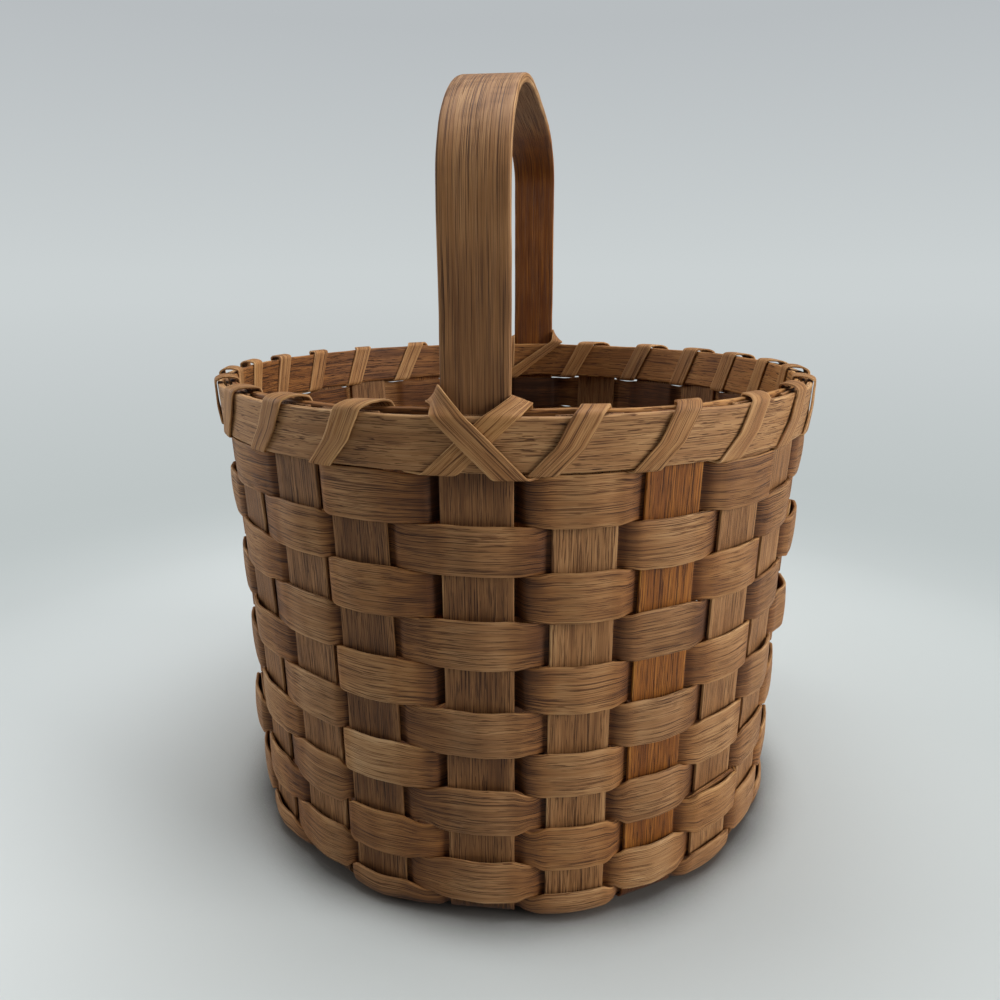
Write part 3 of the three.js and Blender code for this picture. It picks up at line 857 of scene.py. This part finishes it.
def handle_leg(bend_height, fullness):
    """Points (distance from the middle, height, thickness) from the tail's end to the top."""
    s = np.linspace(TAIL_END, TOP, 300)
    thickness = handle_thickness(s)
    n = HANDLE_FACE - thickness / 2
    leg_r = on_line("r", s) + n * on_line("out", s)
    leg = np.stack([leg_r, on_line("z", s) + n * on_line("up", s), thickness])
    springing = HANDLE_TOP - bend_height
    rise = bend_height - HANDLE_THICKNESS / 2
    turn = np.linspace(0, math.pi / 2, 400)
    r = leg[0, -1] * np.cos(turn).clip(0) ** (2 / fullness)
    z = springing + rise * np.sin(turn) ** (2 / fullness)
    arch = np.stack([r, z, 0 * r + HANDLE_THICKNESS])
    return np.concatenate([leg, arch], axis=1)


def smooth_open(row):
    padded = np.pad(row, KERNEL_REACH, mode="reflect", reflect_type="odd")
    return np.convolve(padded, KERNEL, mode="valid")


def handle():
    rng = np.random.default_rng(HANDLE_SEED)
    front = handle_leg(*FRONT_BEND)
    front[0] *= -1
    rear = handle_leg(*REAR_BEND)[:, ::-1]
    path = np.concatenate([front, rear[:, 1:]], axis=1)
    walked = np.concatenate([[0.0], np.cumsum(np.hypot(np.diff(path[0]), np.diff(path[1])))])
    length = walked[-1]
    even = np.arange(0, length, HANDLE_STEP)
    depth, height, thickness = (smooth_open(np.interp(even, walked, row)) for row in path)
    bow, edge_sway, tones = wobble(rng, 90, 4), wobble(rng, 70, 4), wobble(rng, 150)
    mottle = wobble(rng, 26, 6)

    def sheet(x, y):
        at = x + length / 2
        width = 1 - NARROWING * (1 + edge_sway(x))
        lean = HANDLE_BOW * bow(x, 1.0)
        side = -(y * width + lean)
        return np.stack([side, np.interp(at, even, depth), np.interp(at, even, height)], axis=-1)

    def thinning(x):
        return np.interp(x + length / 2, even, thickness) / HANDLE_THICKNESS

    def tint(x, y):
        """The top is palest, the front leg is darker towards its foot, the rear leg is darker and
        redder as painted shade and warm bounce light, and the front one has a stain.
        """
        rear = np.clip((x - REAR_FROM) / REAR_FADE, 0, 1)
        low = np.clip((-x - LOW_FROM) / LOW_FADE, 0, 1)
        stain = np.exp(-(((x - STAIN_PLACE) / STAIN_REACH) ** 2))
        stain = stain * np.clip(mottle(x, 0.45 * y) + 0.1, 0, 1)
        shade = HANDLE_TONE + HANDLE_TONE_SWING * tones(x) - REAR_SHADE * rear - LOW_SHADE * low
        return shade - STAIN_SHADE * stain, HANDLE_WARMTH + REAR_BOUNCE_WARMTH * rear

    width = HANDLE_WIDTH - 0.1
    piece = flat_blank("handle_bow", length, width, HANDLE_THICKNESS, 420, 10, rounding=0.5)
    bend(piece, sheet, tint, HANDLE_SEED, thinning)
    finish_piece(piece, "handle", "handle")


handle()


# Lashing

RIBBON_WIDTH = 6.2
RIBBON_THICKNESS = 0.65
RIBBON_STEP = 0.25
PAD = 0.1 + RIBBON_THICKNESS / 2
RIBBON_LAYER = RIBBON_THICKNESS + 0.12
OUT = OUTER_RIM_BACK + RIM_THICKNESS + PAD
IN = INNER_RIM_BACK - PAD
OVER = TOP + RIM_RISE + PAD
UNDER = UNDER_RIM - PAD
INSIDE_UNDER = UNDER + RIM_RISE
LASH_RADIUS = 98.0
WRAP_HALF = 3.8
SLOT_HALF = 3.0
ARM_HALF = 4.5
LEAN = 10.8  # a wrap moves this far along the rim on its way up outside
LOOSE_FROM = 17  # the wraps after this stake lie more loosely, as at the left in the photo
LASHING_SEED = 500


def level(angle, d, s, n, half=WRAP_HALF, inside=False):
    """A station of the ribbon whose two edges lie at the same height: d is along the rim."""
    ends = [angle + (d + side) / LASH_RADIUS for side in (-half, half)]
    shifts = [inner_rim_shift(end) if inside else 0.0 for end in ends]
    return [ends[0], s, n + shifts[0], ends[1], s, n + shifts[1]]


def leaning(angle, low, high):
    """A station whose two edges are given one by one, as (d, s, n)."""
    return [angle + low[0] / LASH_RADIUS, *low[1:], angle + high[0] / LASH_RADIUS, *high[1:]]


def plain_wrap(stake, rng):
    """One turn round both rims: up outside over a stake, and down inside to the next slot."""
    slot, next_slot = stake_angle(stake - 0.5), stake_angle(stake + 0.5)
    lean = LEAN + rng.uniform(-0.9, 0.9)
    rest = (next_slot - slot) * LASH_RADIUS - lean
    foot = 0.12 * rest + rng.uniform(-0.3, 0.3)
    head = foot + lean
    loose = rng.uniform(0.1, 0.9) + (0.5 if stake > LOOSE_FROM else 0.0)
    crest = OVER + 0.1 + loose
    return [
        level(slot, 0, UNDER, 0, 2.9),
        level(slot, foot, UNDER - 0.1, OUT + 0.1),
        level(slot, foot + 0.62 * lean, (UNDER + TOP) / 2, OUT + 0.45),
        level(slot, head, TOP + PAD + 0.15 + 0.5 * loose, OUT + 0.1 + 0.1 * loose),
        level(slot, head + 0.1 * rest, crest, OUT - 1.8),
        level(slot, head + 0.2 * rest, crest, INNER_RIM_BACK + RIM_THICKNESS, inside=True),
        level(slot, head + 0.26 * rest, OVER + 0.1 + 0.4 * loose, IN - 0.1, inside=True),
        level(slot, head + 0.74 * rest, INSIDE_UNDER, IN, inside=True),
    ]


def under_arm(stake):
    """The arm of the cross that climbs to the right, with its fold over the inner rim."""
    leg = stake_angle(stake)
    slot = stake_angle(stake - 0.5)
    return [
        level(slot, 0, UNDER, 0, SLOT_HALF),
        level(slot, 0.6, UNDER, 1.2, SLOT_HALF),
        level(leg, -8.7, UNDER, OUT, ARM_HALF),
        level(leg, 6.4, TOP + 0.2, OUT, ARM_HALF),
        leaning(leg, (8.9, TOP + 4.6, HANDLE_FACE + 0.5), (14.3, TOP + 2.2, -2.4)),
        leaning(leg, (9.0, TOP + 4.0, -3.4), (14.5, TOP + 1.6, -5.0)),
        leaning(leg, (9.0, TOP + 0.8, IN), (14.6, TOP + 0.5, IN)),
        leaning(leg, (9.4, INSIDE_UNDER, IN), (15.4, INSIDE_UNDER, IN)),
    ]


def over_arm(stake):
    """The arm that climbs to the left over the other one, and comes back inside."""
    out = OUT + RIBBON_LAYER
    inside = IN - RIBBON_LAYER
    under = UNDER - RIBBON_LAYER
    leg = stake_angle(stake)
    slot = stake_angle(stake + 0.5)
    return [
        level(slot, 0, under, 0, SLOT_HALF),
        level(slot, -0.6, under, 1.2, SLOT_HALF),
        level(leg, 8.7, under, out, ARM_HALF),
        level(leg, -6.2, TOP + 0.4, out, 4.3),
        leaning(leg, (-10.9, TOP + 2.0, -0.2), (-8.9, TOP + 7.4, HANDLE_FACE + 1.2)),
        leaning(leg, (-13.2, TOP + 2.0, -3.4), (-9.6, TOP + 5.8, -4.2)),
        leaning(leg, (-15.0, TOP + 1.6, inside), (-9.4, TOP + 1.9, inside)),
        leaning(leg, (8.0, under + RIM_RISE, inside), (17.5, under + RIM_RISE, inside)),
    ]


def rim_lashing():
    rng = np.random.default_rng(LASHING_SEED)
    stations = []
    for stake in range(STAKES):
        stations += under_arm(stake) if stake % REAR_LEG == 0 else plain_wrap(stake, rng)
    return stations


def ribbon(name, node, stations, seed, tone, closing):
    """A ribbon between two edges. It runs through the stations and closes on itself.

    closing is the angle that it has gone round the basket by then.
    """
    rng = np.random.default_rng(seed)
    closing_step = np.array([closing, 0, 0, closing, 0, 0])
    stations = np.array([*stations, np.array(stations[0]) + closing_step])
    middle = (stations[:, :3] + stations[:, 3:]) / 2
    steps = np.diff(middle, axis=0) * [LASH_RADIUS, 1, 1]
    walked = np.concatenate([[0.0], np.cumsum(np.linalg.norm(steps, axis=1))])
    length = walked[-1]
    even = np.linspace(0, length, int(length / RIBBON_STEP), endpoint=False)
    marks = np.append(even, length)
    lines = []
    for row, step in zip(stations.T, closing_step):
        drift = even / length * step
        line = np.interp(even, walked, row) - drift
        line = np.concatenate([line[-KERNEL_REACH:], line, line[:KERNEL_REACH]])
        line = np.convolve(line, KERNEL, mode="valid") + drift
        lines.append(np.append(line, line[0] + step))
    rng.uniform(size=4)  # used by nothing, and kept so that the draws after it stay the same
    sway, tones = wobble(rng, 33, 4), wobble(rng, 120)

    def sheet(x, y):
        at = np.mod(x + length / 2, length)
        lap = np.floor((x + length / 2) / length) * closing
        v = np.clip(y / (RIBBON_WIDTH / 2), -1.2, 1.2) * (1 + 0.02 * sway(at))
        ends = [np.interp(at, marks, line) for line in lines]
        pairs = zip(ends[:3], ends[3:])
        angle, s, n = (low * (1 - v) / 2 + high * (1 + v) / 2 for low, high in pairs)
        return around(angle + lap, s, 0, n)

    def tint(x, y):
        return tone + TONE_SWING * tones(x), 0.25 + 0.1 * tones(x, 1.0)

    along = int(length / 0.75)
    piece = flat_blank(name, length, RIBBON_WIDTH, RIBBON_THICKNESS, along, 6, rounding=0.16)
    bend(piece, sheet, tint, seed)
    finish_piece(piece, node, "lashing")


ribbon("rim_ribbon", "rim_lashing", rim_lashing(), 501, 0.57, 2 * math.pi)
ribbon("cross_ribbon_front", "handle_lashing_front", over_arm(0), 502, 0.54, 0.0)
ribbon("cross_ribbon_rear", "handle_lashing_rear", over_arm(REAR_LEG), 503, 0.5, 0.0)


# Stage and lights, in metres, and the camera

FLOOR_RADIUS = 12
FLOOR_DROP = 0.0003  # below the basket, so that the two don't share a plane

# The floor as the camera sees it, over distance / (distance + 1) from the basket
FAR_TONES = [
    (0.19, paint(206, 213, 213)),
    (0.24, paint(192, 199, 199)),
    (0.33, paint(190, 197, 197)),
    (0.6, paint(198, 204, 205)),
    (0.85, paint(203, 209, 210)),
]
FAR_FADE = (0.15, 0.44)
SKY_TONES = [(0.0, paint(203, 209, 210)), (0.25, paint(184, 189, 192))]
CLOUD_TONES = [(0.3, paint(180, 186, 186)), (0.7, paint(215, 218, 218))]
CLOUD_SHARE = 0.05
FLOOR_RIGHT_PAINTED_SHADE = paint(193, 199, 199)
FLOOR_LEFT_PAINTED_LIGHT = paint(214, 220, 221)
FLOOR_BOUNCE = paint(184, 186, 184)
CONTACT_PAINTED_SHADOW = paint(92, 86, 81)
CONTACT_REACH = 0.018


def backdrop():
    """A pale round floor, with a painted contact shadow round the basket, painted shade to the
    right and painted light to the left. Far from the basket the camera sees it in soft even tones.
    """
    bpy.ops.object.select_all(action="DESELECT")
    bpy.ops.mesh.primitive_circle_add(
        vertices=96, radius=FLOOR_RADIUS, fill_type="NGON", location=(0, 0, -FLOOR_DROP)
    )
    stage = bpy.context.object
    stage.name = stage.data.name = "floor"
    finish = Finish(bpy.data.materials.new("pale_paper"))
    place = finish.node("ShaderNodeTexCoord", {}, output="Object")
    across = finish.parts(place)[0]
    distance = finish.node("ShaderNodeVectorMath", {"operation": "LENGTH"}, {0: place}, "Value")
    cloudy = finish.node("ShaderNodeTexNoise", {}, {"Vector": place, "Scale": 4.0, "Detail": 1.0})
    rays = finish.node("ShaderNodeLightPath", {}, output="Is Camera Ray")
    # Painted contact shadow: the camera-seen floor turns dark where the basket closes over it
    reach = {"Distance": CONTACT_REACH}
    openness = finish.node("ShaderNodeAmbientOcclusion", {"samples": 6}, reach, output="AO")
    # Painted shade and light: the camera-seen floor is darker to the right and paler to the left,
    # against the side lamps
    shown = finish.mix(finish.step(across, 0.3, -0.3), FLOOR_RIGHT_PAINTED_SHADE, FLOOR_LEFT_PAINTED_LIGHT)
    shown = finish.mix(finish.step(openness, 0.35, 0.95), CONTACT_PAINTED_SHADOW, shown)
    shown = finish.mix(CLOUD_SHARE, shown, finish.ramp(cloudy, CLOUD_TONES))
    colour = finish.mix(rays, FLOOR_BOUNCE, shown)
    paper = {"Base Color": colour, "Roughness": 0.85, "Specular IOR Level": 0.1}
    shader = finish.node("ShaderNodeBsdfPrincipled", {}, paper)
    far = finish.ramp(distance / (distance + 1.0), FAR_TONES)
    glow = finish.node("ShaderNodeEmission", {}, {"Color": far, "Strength": 1.0})
    fading = rays * finish.step(distance, *FAR_FADE)
    surface = finish.node("ShaderNodeMixShader", {}, {0: fading, 1: shader, 2: glow})
    finish.node("ShaderNodeOutputMaterial", {}, {"Surface": surface})
    stage.data.materials.append(finish.owner)


def area_light(name, place, aim, size, power, colour):
    bpy.ops.object.light_add(type="AREA", location=place)
    lamp = bpy.context.object
    lamp.name = name
    lamp.data.shape = "RECTANGLE"
    lamp.data.size, lamp.data.size_y = size
    lamp.data.energy = power
    lamp.data.color = colour
    lamp.rotation_euler = (Vector(aim) - Vector(place)).to_track_quat("-Z", "Y").to_euler()


def surroundings(light_level, light_colour):
    """The world: a dim even light, and for the camera a pale tone that darkens upwards."""
    finish = Finish(bpy.data.worlds.new("room"))
    rays = finish.node("ShaderNodeLightPath", {}, output="Is Camera Ray")
    height = finish.parts(finish.node("ShaderNodeTexCoord", {}, output="Generated"))[2]
    light = {"Color": light_colour, "Strength": light_level}
    dim = finish.node("ShaderNodeBackground", {}, light)
    sky = {"Color": finish.ramp(height, SKY_TONES), "Strength": 1.0}
    seen = finish.node("ShaderNodeBackground", {}, sky)
    both = finish.node("ShaderNodeMixShader", {}, {0: rays, 1: dim, 2: seen})
    finish.node("ShaderNodeOutputWorld", {}, {"Surface": both})
    bpy.context.scene.world = finish.owner


def camera(place, yaw, pitch, roll, lens):
    """Yaw turns the view to +X, pitch down, in degrees. The place is in millimetres."""
    yaw, pitch, roll = (math.radians(turn) for turn in (yaw, pitch, roll))
    level_step = math.cos(pitch)
    forward = Vector((math.sin(yaw) * level_step, math.cos(yaw) * level_step, -math.sin(pitch)))
    level_right = Vector((math.cos(yaw), -math.sin(yaw), 0))
    level_up = level_right.cross(forward)
    right = level_right * math.cos(roll) + level_up * math.sin(roll)
    up = level_up * math.cos(roll) - level_right * math.sin(roll)
    bpy.ops.object.camera_add()
    eye = bpy.context.object
    axes = Matrix((right, up, -forward)).transposed().to_4x4()
    eye.matrix_world = Matrix.Translation(Vector(place) * MM) @ axes
    eye.data.sensor_width = 36
    eye.data.lens = lens
    eye.data.clip_start = 0.01
    bpy.context.scene.camera = eye


backdrop()
area_light(
    "overhead",
    place=(0.1, 0.12, 1.1),
    aim=(0, 0, 0.1),
    size=(0.9, 0.8),
    power=9.3,
    colour=(1.0, 1.0, 1.0),
)
area_light(
    "right_side",
    place=(1.5, -0.4, 0.62),
    aim=(0, 0, 0.08),
    size=(0.9, 0.8),
    power=21.5,
    colour=(1.0, 0.98, 0.95),
)
area_light(
    "left_side",
    place=(-1.3, 0.15, 0.5),
    aim=(0, 0, 0.08),
    size=(0.9, 0.7),
    power=9,
    colour=(1.0, 0.97, 0.92),
)
surroundings(light_level=0.15, light_colour=(0.9, 0.96, 1.0, 1.0))
camera(place=(28.11, -289.8, 184.34), yaw=-6.526, pitch=15.73, roll=-0.18, lens=29.26)

view = bpy.context.scene.view_settings
view.view_transform = "Standard"
